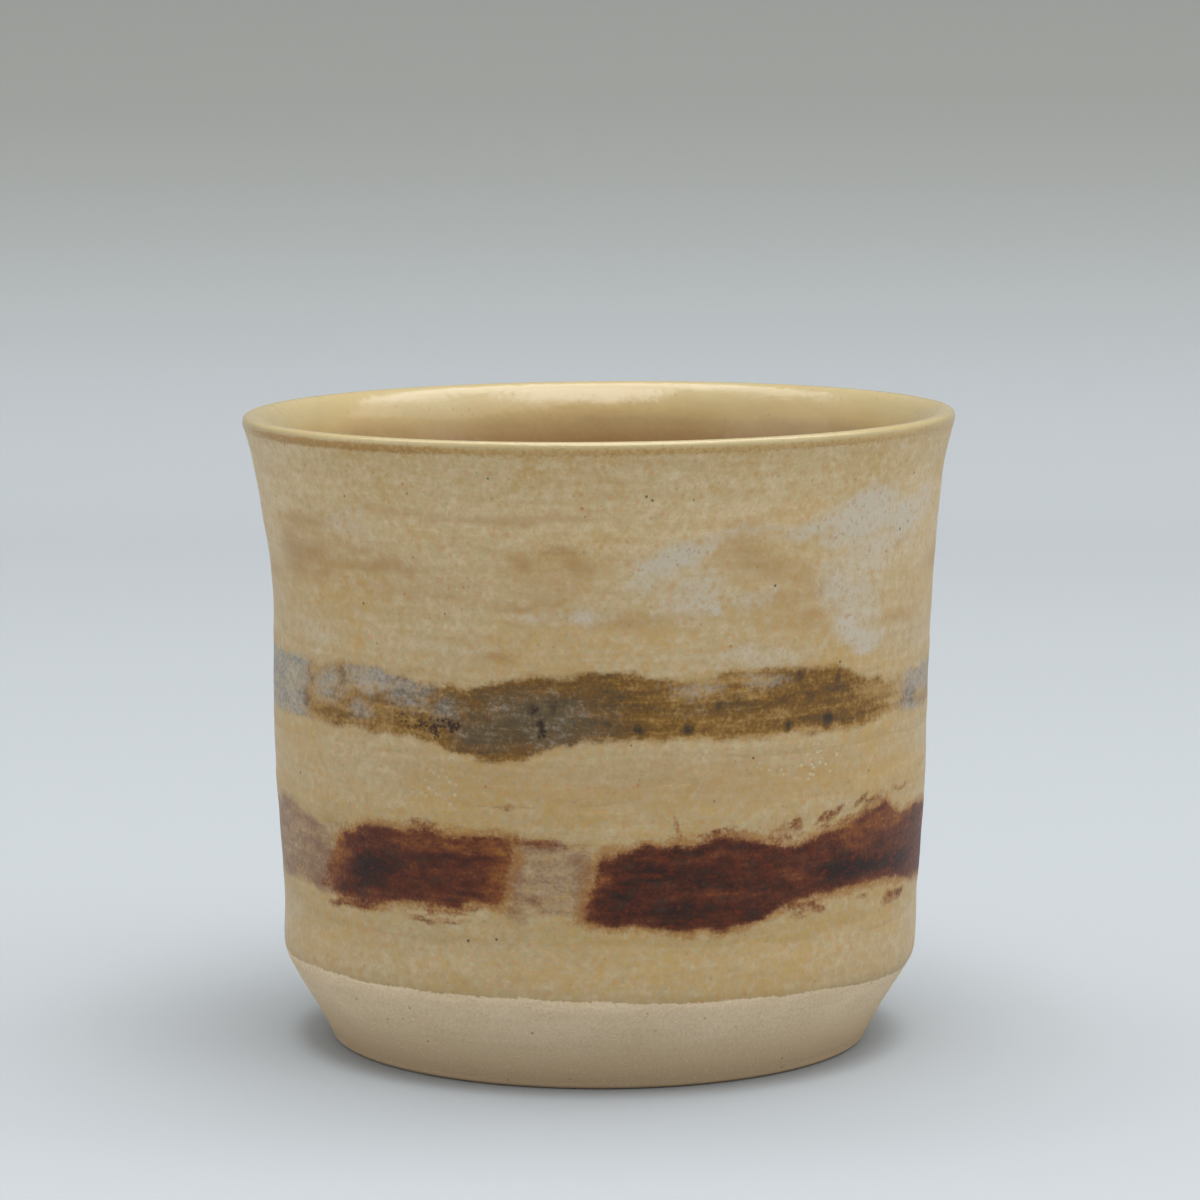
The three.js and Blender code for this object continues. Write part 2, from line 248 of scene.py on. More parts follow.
GREY_BROWNS = [
    (78, 31.7, 9, 0.7, 0, 0.7), (104, 35.1, 10, 0.6, 0, 0.7), (134, 31.5, 14, 0.7, 0, 0.8),
    (168, 35.3, 13, 0.7, 0, 0.7), (205, 31.2, 16, 0.7, 0, 0.8), (240, 35.1, 12, 0.7, 0, 0.7),
    (268, 31.2, 11, 0.6, 0, 0.7),
]
OLIVE_SPOTS = [
    (-11.5, 33.8, 0.9, 0.8, 0, 0.3), (-10.2, 32.4, 0.8, 1, 0, 0.3), (-8, 34.1, 0.7, 0.5, 0, 0.3),
    (6.5, 32.4, 0.9, 0.5, 0, 0.4), (14.7, 32.2, 1, 0.6, 0, 0.45), (20, 34.1, 1, 0.4, 0, 0.3),
    (32.8, 31.6, 0.9, 0.6, 0, 0.45), (35, 36.2, 0.9, 0.5, 0, 0.35), (41.3, 31.9, 1, 0.7, 0, 0.4),
    (42, 35.4, 0.9, 0.7, 0, 0.35), (2.5, 36.8, 2.5, 0.35, 0, 0.3), (-16.5, 36.8, 1.2, 0.4, 0, 0.3),
]
OLIVE_GREYS = [
    (-10, 33.2, 13, 2.8, 0, 0.66), (-42, 35.7, 10, 1.4, 0, 0.75), (-34, 34.8, 5, 1.6, 0, 0.7),
    (-26.5, 33.6, 4, 1.3, 0, 0.65), (-44, 32.8, 4, 1.2, 0, 0.6), (-54, 34.5, 7, 2, 0, 0.7),
    (-20, 31.8, 7, 1.5, 0, 0.65), (16, 35.6, 7, 1.1, 0, 0.5), (28, 35.9, 6, 0.9, 0, 0.5),
    (20, 34, 12, 1, 0, 0.3),
]
OLIVE_PEPPER = [
    (-34, 32.5, 3.5, 0.9, 0, 0.9), (-29.5, 32.2, 6, 0.9, 0, 1), (-26, 32.3, 2.5, 0.8, 0, 1),
    (-28.5, 31.2, 2, 0.6, 0, 0.8), (-11, 33.6, 1.2, 0.9, 0, 0.9), (-10.2, 32.3, 0.9, 1, 0, 1),
]
OLIVE_RUSTS = [
    (-8, 36.5, 15, 0.7, 0, 0.8), (-2, 31.4, 3, 0.5, 0, 0.7), (-15.5, 37.8, 3.5, 0.8, 0, 0.7),
    (40, 35.4, 6, 0.9, 0, 0.8), (38, 31.8, 8, 0.6, 0, 0.7), (20, 34.1, 2, 0.5, 0, 0.7),
    (-45, 33.1, 3, 0.5, 0, 0.6), (-27, 30.2, 4, 0.5, 0, 0.6),
]

# The same for where thin wash lies beside the short stroke
SHORT_WASHES = [(-9, 19.5, 9, 3.8, 0, 1), (-54, 19.3, 7, 4.2, 0, 1)]

# Colours, as they look in plain light
CLAY = (217, 197, 165)
CLAY_DARK = (197, 174, 140)
# painted shade on the bare clay towards the foot
CLAY_PAINTED_SHADE = (186, 161, 128)
CLAY_WHITE = (232, 224, 208)
TAN = (172, 153, 117)
TAN_DEEP = (155, 130, 88)
TAN_LIGHT = (193, 179, 150)
TAN_THIN_AND_LIT = 1.09          # how much lighter the three tans are towards the lip: partly thinner glaze, partly painted light on the upper wall, which the flared lip shades from the lamps
TAN_PINK = (196, 152, 116)
TAN_OLIVE = (168, 154, 106)
TAN_GOLD = (175, 142, 80)
PALE_GLAZE = (182, 175, 160)
PIT_BROWN = (160, 126, 84)
DAB_OLIVE = (150, 112, 58)
LIP_TAN = (178, 149, 98)
LIP_BROWN = (152, 114, 52)
SPECK_DARK = (74, 54, 38)
SPECK_RUST = (166, 100, 58)
SPECK_ORANGE = (178, 126, 72)
SPECK_BROWN = (140, 110, 68)
IRON_WASHED = (122, 89, 72)
IRON_TAN = (144, 98, 48)
IRON_ORANGE = (120, 72, 40)
IRON_RED = (96, 53, 35)
IRON_DARK = (76, 41, 29)
IRON_DEEP = (57, 34, 27)
IRON_BLACK = (41, 31, 29)
IRON_SLATE = (62, 51, 44)
IRON_RUST = (106, 48, 28)
OLIVE_THIN = (166, 136, 82)
OLIVE_GOLD = (148, 109, 40)
OLIVE_BROWN = (121, 85, 27)
OLIVE_DEEP = (97, 69, 32)
OLIVE_DARK = (72, 54, 37)
OLIVE_BLACK = (48, 37, 31)
OLIVE_RED = (108, 70, 44)
GREY_THIN = (164, 158, 144)
GREY_PALE = (150, 147, 142)
GREY_LILAC = (128, 125, 122)
GREY_GREEN = (90, 79, 56)
GREY_DEEP = (62, 54, 42)
GREEN_GRAIN = (98, 106, 88)
PEPPER = (54, 38, 32)
RUST = (116, 60, 36)
LIP_CREAM = (164, 148, 108)
HONEY = (166, 143, 96)
HONEY_DEEP = (134, 99, 53)
FLOOR_TONE = (154, 159, 163)
BACKDROP_TONE = (127, 129, 125)

rng = np.random.default_rng(7)


# Sizes read from the frame
def corners(node):
    low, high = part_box(node)
    return np.array(low) / MM, np.array(high) / MM


def levels(node):
    """Each height in a CAD node where it has points, with the least and greatest radius there"""
    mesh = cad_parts[node].data
    flat = np.empty(3 * len(mesh.vertices))
    mesh.vertices.foreach_get("co", flat)
    points = flat.reshape(-1, 3) / MM
    radius = np.hypot(points[:, 0], points[:, 1])
    heights = points[:, 2].round(2)
    return [(z, radius[heights == z].min(), radius[heights == z].max()) for z in np.unique(heights)]


glaze_low, glaze_high = corners("outer_glaze")
liner_low, liner_high = corners("liner_glaze")
glaze_levels = levels("outer_glaze")
clay_levels = levels("clay_body")
liner_levels = levels("liner_glaze")

shoulder = glaze_low[2]
lip_start = glaze_high[2]
cup_top = liner_high[2]
wall = np.polynomial.Polynomial.fit([row[0] for row in glaze_levels], [row[2] for row in glaze_levels], 7)
wall_slope = wall.deriv()
standing_radius = clay_levels[0][2]
bevel_rows = [row for row in clay_levels if row[0] <= shoulder + 0.01 and row[2] > standing_radius + 0.1]
bevel = np.polynomial.Polynomial.fit([row[0] for row in bevel_rows], [row[2] for row in bevel_rows], 1)
ring_inside = clay_levels[0][1]
recess = next(row[0] for row in clay_levels if row[0] > 0.1 and row[1] < 1)
floor_top = next(row[0] for row in liner_levels if row[1] < 1 and row[0] > liner_low[2] + 0.01)
lip_inside = next(row[1] for row in liner_levels if abs(row[0] - lip_start) < 0.02)
lip_thickness = wall(lip_start) - lip_inside
wall_rows = [row for row in liner_levels if floor_top + 1 < row[0] < lip_start and row[2] - row[1] < 0.6]
foot_row = min(wall_rows, key=lambda row: row[0])
foot_thickness = wall(foot_row[0]) - foot_row[1]
floor_round = foot_row[0] - floor_top
lip_end = cup_top - LIP_SLOPE


# The shape of the cup, as radii at a height and angle
def eased(angle, stations):
    """Heights along a stroke edge, flowing smoothly from one station to the next"""
    angles = np.array([station[0] for station in stations], float)
    heights = np.array([station[1] for station in stations], float)
    index = np.clip(np.searchsorted(angles, angle) - 1, 0, len(angles) - 2)
    share = np.clip((angle - angles[index]) / (angles[index + 1] - angles[index]), 0, 1)
    share = share * share * (3 - 2 * share)
    return heights[index] + (heights[index + 1] - heights[index]) * share


def smooth(value, low, high):
    share = np.clip((value - low) / (high - low), 0, 1)
    return share * share * (3 - 2 * share)


def signed_angle(angle):
    return (angle + 180) % 360 - 180


def soft_minimum(first, second, softness):
    return (first + second - np.sqrt((first - second) ** 2 + softness**2)) / 2


class Patches:
    """Seeded smooth noise over the unrolled wall, from -1 to 1, with patches of about this size"""

    def __init__(self, size):
        self.size = size
        self.columns = round(2 * math.pi * wall(lip_start / 2) / size)
        self.values = rng.uniform(-1, 1, (int(cup_top / size) + 3, self.columns))

    def __call__(self, angle, height):
        across = np.asarray(angle) % 360 / 360 * self.columns
        upward = np.asarray(height) / self.size
        column = np.floor(across).astype(int)
        row = np.floor(upward).astype(int)
        to_next = smooth(across - column, 0, 1)
        to_above = smooth(upward - row, 0, 1)
        after = (column + 1) % self.columns
        column = column % self.columns
        lower = self.values[row, column] * (1 - to_next) + self.values[row, after] * to_next
        upper = self.values[row + 1, column] * (1 - to_next) + self.values[row + 1, after] * to_next
        return lower * (1 - to_above) + upper * to_above


broad_along, broad_up = Patches(3.6), Patches(3.6)
fine_along, fine_up = Patches(1.3), Patches(1.3)


def wander(angle, height, share=1.0):
    """A place moved a little, so that marks drawn there get uneven outlines"""
    along = WANDER_ALONG[0] * broad_along(angle, height) + WANDER_ALONG[1] * fine_along(angle, height)
    upward = WANDER_UP[0] * broad_up(angle, height) + WANDER_UP[1] * fine_up(angle, height)
    return angle + np.degrees(share * along / wall(lip_start / 2)), height + share * upward


lump_waves = [(rng.integers(1, 5), rng.uniform(0.05, 0.3), rng.uniform(0, 2 * math.pi)) for _ in range(10)]


def lumps(angle, height):
    """Low uneven swellings of a hand-thrown wall"""
    total = np.zeros(np.broadcast(angle, height).shape)
    for turns, climb, phase in lump_waves:
        total = total + np.sin(turns * np.radians(angle) + climb * height + phase)
    return LUMP_HEIGHT * total / math.sqrt(len(lump_waves))


def humps(height, shapes):
    return sum(size * np.exp(-(((height - middle) / half) ** 2)) for size, middle, half in shapes)


def spiral(angle, height, pitch):
    return np.sin(2 * math.pi * (height / pitch - angle / 360))


def outside_radius(angle, height):
    above = np.maximum(height, shoulder)
    straight = wall(above) + wall_slope(shoulder) * np.minimum(height - shoulder, 0)
    bevelled = bevel(height) + SHOULDER_DROP * smooth(height, *DROP_HEIGHTS)
    plain = soft_minimum(straight, bevelled, SHOULDER_SOFTNESS)
    marks = OUTSIDE_RIPPLE * spiral(angle, height, OUTSIDE_PITCH) + lumps(angle, height)
    fade = smooth(height, 0.5, OUTSIDE_FADE) * smooth(lip_start + 0.5 - height, 0, OUTSIDE_FADE)
    return plain + marks * fade + humps(height, SWELLS)


def wall_thickness(height):
    return np.interp(height, [foot_row[0], lip_start], [foot_thickness, lip_thickness])


def inside_radius(angle, height):
    marks = INSIDE_RIPPLE * spiral(angle, height, INSIDE_PITCH)
    wall_foot = floor_top + floor_round
    from_corner = height - wall_foot + 1
    fade = smooth(lip_end - height, 0, INSIDE_FADE[0]) * smooth(from_corner, 0, INSIDE_FADE[1])
    return wall(height) - wall_thickness(height) - marks * fade


def place(angle, radius, height):
    """Points of the cup in metres, with the lean, tilt and out-of-round of hand throwing"""
    up = height / cup_top
    turn = np.radians(angle)
    radius = radius * (1 + OUT_OF_ROUND * up * np.cos(2 * turn + 0.6))
    x = radius * np.sin(turn)
    y = -radius * np.cos(turn)
    lean = humps(height, LEANS)
    tilt = RIM_TILT * x * up**2
    return np.stack([x + lean, y, height + tilt], axis=-1) * MM


# Rows of points round the cup, each an angle, a radius and a height per column
ring_angles = np.arange(RING) * 360 / RING - 180


def ring_row(radius, height):
    return np.stack(np.broadcast_arrays(ring_angles, radius, height)).astype(float)


def lip_row(inset, turn):
    """One row over the lip, from 0 on its outside over the crest to pi, where the inside wall starts"""
    top = cup_top - inset
    if turn < math.pi / 2:
        height = lip_start + (top - lip_start) * math.sin(turn) ** LIP_FULLNESS
        inward = LIP_CREST - (LIP_CREST - inset) * math.cos(turn) ** LIP_FULLNESS
    else:
        height = lip_end + (top - lip_end) * math.sin(turn)
        inward = LIP_CREST - (wall_thickness(lip_end) - inset - LIP_CREST) * math.cos(turn)
    flared = wall(min(height, lip_start)) + wall_slope(lip_start) * max(height - lip_start, 0)
    return ring_row(flared - inward, height)


def lip_rows(inset, count):
    return [lip_row(inset, turn) for turn in np.linspace(0, math.pi, count)]


def inside_rows(inset, wall_count, corner_count, floor_count):
    """Down the inside from the lip, round the corner and in to the axis"""
    rows = []
    wall_foot = floor_top + floor_round
    for height in np.linspace(lip_end, wall_foot, wall_count)[1:]:
        rows.append(ring_row(inside_radius(ring_angles, height) + inset, height))
    corner = inside_radius(ring_angles, wall_foot) - floor_round
    bend = floor_round + inset
    for turn in np.linspace(0, math.pi / 2, corner_count)[1:]:
        rows.append(ring_row(corner + bend * math.cos(turn), wall_foot - bend * math.sin(turn)))
    for share in np.linspace(1, 0, floor_count)[1:]:
        turns = 2 * math.pi * (share * 3.5 + ring_angles / 360)
        swirl = FLOOR_SWIRL * np.sin(turns) * share * (1 - share) * 4
        rows.append(ring_row(corner * share, floor_top - inset + swirl))
    return rows


# Meshes
def grid_faces(index, closed_rows, closed_ring):
    """Quads over a grid of point numbers, wrapped where it closes"""
    if closed_rows:
        index = np.concatenate([index, index[:1]], axis=0)
    if closed_ring:
        index = np.concatenate([index, index[:, :1]], axis=1)
    quads = np.stack([index[:-1, :-1], index[:-1, 1:], index[1:, 1:], index[1:, :-1]], axis=-1)
    return quads.reshape(-1, 4)


def quad_uv(left, right, low, high):
    """Each quad's place on the map, in the order of its corners"""
    pairs = [(left, low), (right, low), (right, high), (left, high)]
    return np.stack([np.stack(pair, -1) for pair in pairs], axis=1)


def build_piece(name, points, faces, material, fields, node, uv):
    """A mesh with its fields and map, which rides on the cup's body in place of a CAD node"""
    mesh = bpy.data.meshes.new(name)
    mesh.from_pydata(points.reshape(-1, 3).tolist(), [], faces)
    for field, values in fields.items():
        attribute = mesh.attributes.new(field, "FLOAT", "POINT")
        attribute.data.foreach_set("value", values.ravel().astype(np.float32))
    layer = mesh.uv_layers.new(name="OFBake")
    layer.data.foreach_set("uv", uv.ravel().astype(np.float32))
    mesh.shade_smooth()
    mesh.materials.append(material)
    mesh.validate()
    piece = bpy.data.objects.new(name, mesh)
    bpy.context.collection.objects.link(piece)
    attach(piece, "root")
    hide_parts(node)


def row_spread(points, hidden):
    """A share of the map for each row, by its true length but little for hidden rows"""
    steps = np.linalg.norm(np.diff(points, axis=0), axis=-1).mean(axis=1)
    steps = steps * np.where(hidden[1:], HIDDEN_SHARE, 1)
    return np.concatenate([[0], np.cumsum(steps)]) / steps.sum()


def turned_piece(name, rows, hidden, material, fields_at, node, closed):
    """A piece turned about the axis, either closed on itself or ending on the axis at both ends"""
    grid = np.stack(rows)
    angle, radius, height = grid[:, 0], grid[:, 1], grid[:, 2]
    points = place(angle, radius, height)
    fields = fields_at(angle, radius, height)
    count = len(rows)
    index = np.arange(count * RING).reshape(count, RING)
    share = row_spread(points, np.array(hidden)) * 0.98 + 0.01
    if closed:
        faces = grid_faces(index, True, True)
        row_below = np.repeat(np.arange(count), RING)
        low, high = share[row_below], np.append(share[1:], 1.0)[row_below]
    else:
        index[0] = index[0, 0]
        index[-1] = index[-1, 0]
        faces = grid_faces(index, False, True)
        row_below = np.repeat(np.arange(count - 1), RING)
        low, high = share[row_below], share[row_below + 1]
    column = np.tile(np.arange(RING), len(faces) // RING)
    uv = quad_uv(column / RING, (column + 1) / RING, low, high)
    kept, polygons, corner_uv = merged_poles(points, faces, uv, closed)
    values = {field: value.ravel()[kept] for field, value in fields.items()}
    build_piece(name, points.reshape(-1, 3)[kept], polygons, material, values, node, corner_uv)


def merged_poles(points, faces, uv, closed):
    """Turns the quads at the axis into triangles and drops the points that nothing uses"""
    total = points.shape[0] * points.shape[1]
    polygons = []
    corners_uv = []
    for face, corner in zip(faces.tolist(), uv.tolist()):
        if closed or len(set(face)) == 4:
            polygons.append(face)
            corners_uv.extend(corner)
            continue
        seen = []
        for vertex, place_uv in zip(face, corner):
            if vertex not in seen:
                seen.append(vertex)
                corners_uv.append(place_uv)
        polygons.append(seen)
    used = np.zeros(total, bool)
    used[[vertex for face in polygons for vertex in face]] = True
    renumber = np.cumsum(used) - 1
    polygons = [[int(renumber[vertex]) for vertex in face] for face in polygons]
    return np.flatnonzero(used), polygons, np.array(corners_uv)


# Where each mark lies on the outside, as fields over angle and height
def offsets(angle, height, mark):
    """How far a point is from a soft mark's middle, round the cup and upwards, each 1 at its edge"""
    middle, level, half_width, half_height, climb, _ = mark
    across = signed_angle(angle - middle)
    return across / half_width, (height - level - climb * across) / half_height


def gathered(angle, height, marks, gather, outer, inner):
    """Soft marks taken together, each from 0 at the outer edge to its strength at the inner one"""
    total = np.zeros(np.broadcast(angle, height).shape)
    for mark in marks:
        away = np.hypot(*offsets(angle, height, mark))
        total = gather(total, mark[5] * smooth(away, outer, inner))
    return total


def strongest(angle, height, marks):
    return gathered(angle, height, marks, np.maximum, 1.7, 0.2)


def faint(angle, height, marks):
    """The strongest of some thin marks, with narrower soft edges"""
    return gathered(angle, height, marks, np.maximum, 1.35, 0.5)


def added(angle, height, marks):
    return gathered(angle, height, marks, np.add, 1.3, 0.4)


def stroke_edge(angle, height, start, end, low, high, slant=0.0):
    """Distance into a stroke from its nearest edge, less than 0 outside it, with a slanted start"""
    sweep = end - start
    along = (angle - start + 180 - sweep / 2) % 360 - 180 + sweep / 2
    lower = eased(start + along, low)
    upper = eased(start + along, high)
    middle = (lower + upper) / 2
    begin = along - slant * (height - middle)
    to_end = np.minimum(begin, sweep - along) * math.radians(1) * wall(STROKE_LEVEL) * END_SOFTNESS
    to_side = np.minimum(height - lower, upper - height)
    return soft_minimum(to_end, to_side, CORNER_SOFTNESS)


def short_edge(angle, height):
    return stroke_edge(angle, height, *SHORT_ENDS, SHORT_LOW, SHORT_TOP, SHORT_SLANT)


def long_edge(angle, height, further=0):
    start, end = LONG_ENDS
    return stroke_edge(angle, height, start, end + further, LONG_LOW, LONG_TOP, LONG_SLANT)


def olive_edge(angle, height, further=0):
    start, end = OLIVE_ENDS
    return stroke_edge(angle, height, start - further, end + further, OLIVE_LOW, OLIVE_TOP)


def grey_edge(angle, height, further=0):
    start, end = GREY_ENDS
    return stroke_edge(angle, height, start - further, end + further, GREY_LOW, GREY_TOP)


def wisp_edge(angle, height, marks):
    """Distance into the nearest of some thin marks, less than 0 outside them"""
    best = np.full(np.broadcast(angle, height).shape, -5.0)
    for mark in marks:
        across, upward = offsets(angle, height, mark)
        half_width = math.radians(mark[2]) * wall(STROKE_LEVEL)
        from_middle = np.hypot(across, upward) + 0.01
        steepness = np.hypot(across / half_width, upward / mark[3]) / from_middle
        best = np.maximum(best, (1 - from_middle) / (steepness + 0.1))
    return best


def glaze_line(angle):
    uneven = LINE_WAVE[0] * broad_up(angle, shoulder) + LINE_WAVE[1] * fine_up(angle, shoulder)
    return eased(signed_angle(angle), GLAZE_LINE) + uneven - GLAZE_HIDDEN


def lip_line(angle, height):
    """The brown line where the two glazes meet on the outside of the lip"""
    line = np.exp(-(((height - lip_start - 0.2) / 0.5) ** 4))
    left = smooth(np.abs(signed_angle(angle + 48)), 34, 10)
    return line * (0.58 + 0.34 * left)


def glaze_fields(angle, height):
    """What the bare glaze shows at each place"""
    above = height - glaze_line(angle)
    near = wander(angle, height)
    return {
        "pale": strongest(*near, PALE),
        "dab": strongest(*near, DABS),
        "pitted": strongest(*near, PITTED),
        "lip": lip_line(angle, height),
        "hem": smooth(above, 2.0, 0.5),
        "margin": smooth(above, 0.8, GLAZE_HIDDEN),
        # where the tans turn lighter towards the lip: partly thinner glaze, partly painted light
        "high": smooth(height, 36, 50),
    }


def iron_fields(angle, height):
    """What both iron strokes and their bare patch show at each place"""
    fields = glaze_fields(angle, height)
    near = wander(angle, height, 0.7)
    along = (angle + 2) % 360
    short = short_edge(*near)
    long = long_edge(*near)
    short_load = np.interp(signed_angle(near[0]), *zip(*SHORT_LOAD))
    load = np.where(short > long, short_load, np.interp(along, *zip(*LONG_LOAD)))
    edge = np.maximum(short, long)
    inside = smooth(edge, -0.5, 0.7) * smooth(load, 0.0, 0.3)
    fields["iron_cover"] = np.maximum(inside, 0.78 * faint(*near, IRON_WISPS))
    fields["iron_load"] = inside * (load + 1.3 * added(*near, IRON_LOADS)) + (1 - inside) * 0.16
    fields["iron_fringe"] = smooth(edge, -1.4, 0.0) * smooth(load, 0.05, 0.3)
    thin = smooth(long_edge(*near, 14), -0.6, 0.8) * np.interp(along, *zip(*LONG_WASH))
    fields["iron_wash"] = np.maximum(strongest(*near, IRON_WASH), thin)
    return fields


def olive_fields(angle, height):
    """What the olive and grey strokes show at each place"""
    fields = glaze_fields(angle, height)
    near = wander(angle, height, 0.6)
    turned = signed_angle(near[0])
    in_grey = np.maximum(smooth(turned, -53, -66), 0.8 * smooth(turned, 56, 68))
    load = np.interp(turned, *zip(*OLIVE_LOAD)) + added(*near, OLIVE_LOADS)
    load = load * (1 - in_grey) + in_grey * (0.28 + added(*near, GREY_LOADS))
    edge = np.maximum(olive_edge(*near, 5), grey_edge(*near, 5))
    fading = 1 - 0.3 * smooth(np.abs(turned - 61), 7, 1)
    fields["olive_cover"] = smooth(edge, -0.7, 0.8) * fading
    fields["olive_load"] = load + added(*near, OLIVE_SPOTS)
    greyed = 0.95 - 0.7 * strongest(*near, GREY_BROWNS)
    fields["olive_grey"] = np.maximum(strongest(*near, OLIVE_GREYS) * (1 - in_grey), greyed * in_grey)
    fields["olive_pepper"] = strongest(*near, OLIVE_PEPPER)
    fields["olive_rust"] = strongest(*near, OLIVE_RUSTS)
    return fields


# Specks: spacing, radius, offset of the pattern, cover, colour
GLAZE_SPECKS = [
    (1.1, 0.26, 57.0, 0.28, SPECK_ORANGE), (1.5, 0.15, 11.0, 0.35, SPECK_BROWN),
    (3.7, 0.16, 23.0, 0.7, SPECK_RUST), (3.3, 0.13, 37.0, 0.85, SPECK_DARK),
]
LINER_SPECKS = [(1.5, 0.17, 61.0, 0.3, SPECK_BROWN), (4.1, 0.14, 71.0, 0.4, SPECK_DARK)]
CLAY_SPECKS = [(1.9, 0.13, 15.0, 0.8, SPECK_BROWN)]


# Materials
PATTERN_TURN = (0.5, 0.4, 0.9)  # radians, which keep the patterns' own grain off the cup's axes


# A tan made lighter towards the lip, partly for thinner glaze and partly as painted light
def thinned_and_lit(colour):
    return tuple(min(255, value * TAN_THIN_AND_LIT) for value in colour)


def tone(colour):
    """A colour as it looks on screen, from 0 to 255, as the linear colour of a shader"""
    linear = []
    for value in colour:
        share = value / 255
        linear.append(share / 12.92 if share <= 0.04045 else ((share + 0.055) / 1.055) ** 2.4)
    return (*linear, 1)


class Nodes:
    """A material's node tree, with a short name for each kind of node in use"""

    def __init__(self, name):
        self.material = bpy.data.materials.new(name)
        self.material.use_nodes = True
        self.tree = self.material.node_tree
        self.tree.nodes.clear()
        coordinates = self.tree.nodes.new("ShaderNodeTexCoord")
        self.place = coordinates.outputs["Object"]

    def give(self, socket, value):
        if isinstance(value, bpy.types.NodeSocket):
            self.tree.links.new(value, socket)
        else:
            socket.default_value = value

    def math(self, operation, *values):
        node = self.tree.nodes.new("ShaderNodeMath")
        node.operation = operation
        for socket, value in zip(node.inputs, values):
            self.give(socket, value)
        return node.outputs[0]

    def times(self, first, second):
        return self.math("MULTIPLY", first, second)

    def sum(self, terms, start):
        """start plus each value times its weight"""
        total = start
        for value, weight in terms:
            total = self.math("MULTIPLY_ADD", value, weight, total)
        return total

    def step(self, value, low, high, top=1.0):
        """0 below low and top above high, with a smooth rise between"""
        node = self.tree.nodes.new("ShaderNodeMapRange")
        node.interpolation_type = "SMOOTHSTEP"
        self.give(node.inputs["Value"], value)
        if low < high:
            limits = (low, high, 0.0, top)
        else:
            limits = (high, low, top, 0.0)
        for socket, limit in zip(node.inputs[1:5], limits):
            socket.default_value = limit
        return node.outputs["Result"]

    def mapped(self, scale, stretch, offset):
        node = self.tree.nodes.new("ShaderNodeMapping")
        self.tree.links.new(self.place, node.inputs["Vector"])
        node.inputs["Location"].default_value = (offset, offset, offset)
        node.inputs["Rotation"].default_value = PATTERN_TURN
        node.inputs["Scale"].default_value = [scale * share / MM for share in stretch]
        return node.outputs["Vector"]

    def noise(self, size, detail=2.0, roughness=0.5, stretch=(1, 1, 1), offset=0.0):
        """Noise with patches of about this size in mm, times stretch along each axis"""
        node = self.tree.nodes.new("ShaderNodeTexNoise")
        shares = [1 / share for share in stretch]
        self.tree.links.new(self.mapped(1 / size, shares, offset), node.inputs["Vector"])
        node.inputs["Scale"].default_value = 1.0
        node.inputs["Detail"].default_value = detail
        node.inputs["Roughness"].default_value = roughness
        return node.outputs["Fac"]

    def specks(self, spacing, radius, offset):
        """Round specks of this radius in mm, about one to each cube of the spacing"""
        node = self.tree.nodes.new("ShaderNodeTexVoronoi")
        self.tree.links.new(self.mapped(1 / spacing, (1, 1, 1), offset), node.inputs["Vector"])
        node.inputs["Scale"].default_value = 1.0
        return self.step(node.outputs["Distance"], radius * 1.4 / spacing, radius * 0.5 / spacing)

    def mix(self, factor, first, second):
        node = self.tree.nodes.new("ShaderNodeMix")
        node.data_type = "RGBA"
        self.give(node.inputs["Factor"], factor)
        self.give(node.inputs["A"], first)
        self.give(node.inputs["B"], second)
        return node.outputs["Result"]

    def ramp(self, value, stops):
        node = self.tree.nodes.new("ShaderNodeValToRGB")
        self.give(node.inputs["Fac"], value)
        elements = node.color_ramp.elements
        while len(elements) < len(stops):
            elements.new(1.0)
        for element, (position, colour) in zip(elements, stops):
            element.position = position
            element.color = tone(colour)
        return node.outputs["Color"]

    def tint(self, colour, shade, mask, low, high, top=1.0):
        """Turns a colour towards a shade by up to top, as the mask goes from low to high"""
        return self.mix(self.step(mask, low, high, top), colour, tone(shade))

    def speckled(self, colour, kinds):
        for spacing, radius, offset, cover, shade in kinds:
            speck = self.times(self.specks(spacing, radius, offset), cover)
            colour = self.mix(speck, colour, tone(shade))
        return colour

    def field(self, name):
        node = self.tree.nodes.new("ShaderNodeAttribute")
        node.attribute_name = name
        return node.outputs["Fac"]

    def finish(self, colour, roughness, height, depth, **sockets):
        """The surface shader, with bumps of this depth in mm"""
        shader = self.tree.nodes.new("ShaderNodeBsdfPrincipled")
        output = self.tree.nodes.new("ShaderNodeOutputMaterial")
        bump = self.tree.nodes.new("ShaderNodeBump")
        bump.inputs["Distance"].default_value = depth * MM
        self.give(bump.inputs["Height"], height)
        self.give(shader.inputs["Base Color"], colour)
        self.give(shader.inputs["Roughness"], roughness)
        self.tree.links.new(bump.outputs["Normal"], shader.inputs["Normal"])
        for name, value in sockets.items():
            shader.inputs[name.replace("_", " ")].default_value = value
        self.tree.links.new(shader.outputs[0], output.inputs["Surface"])
        return self.material


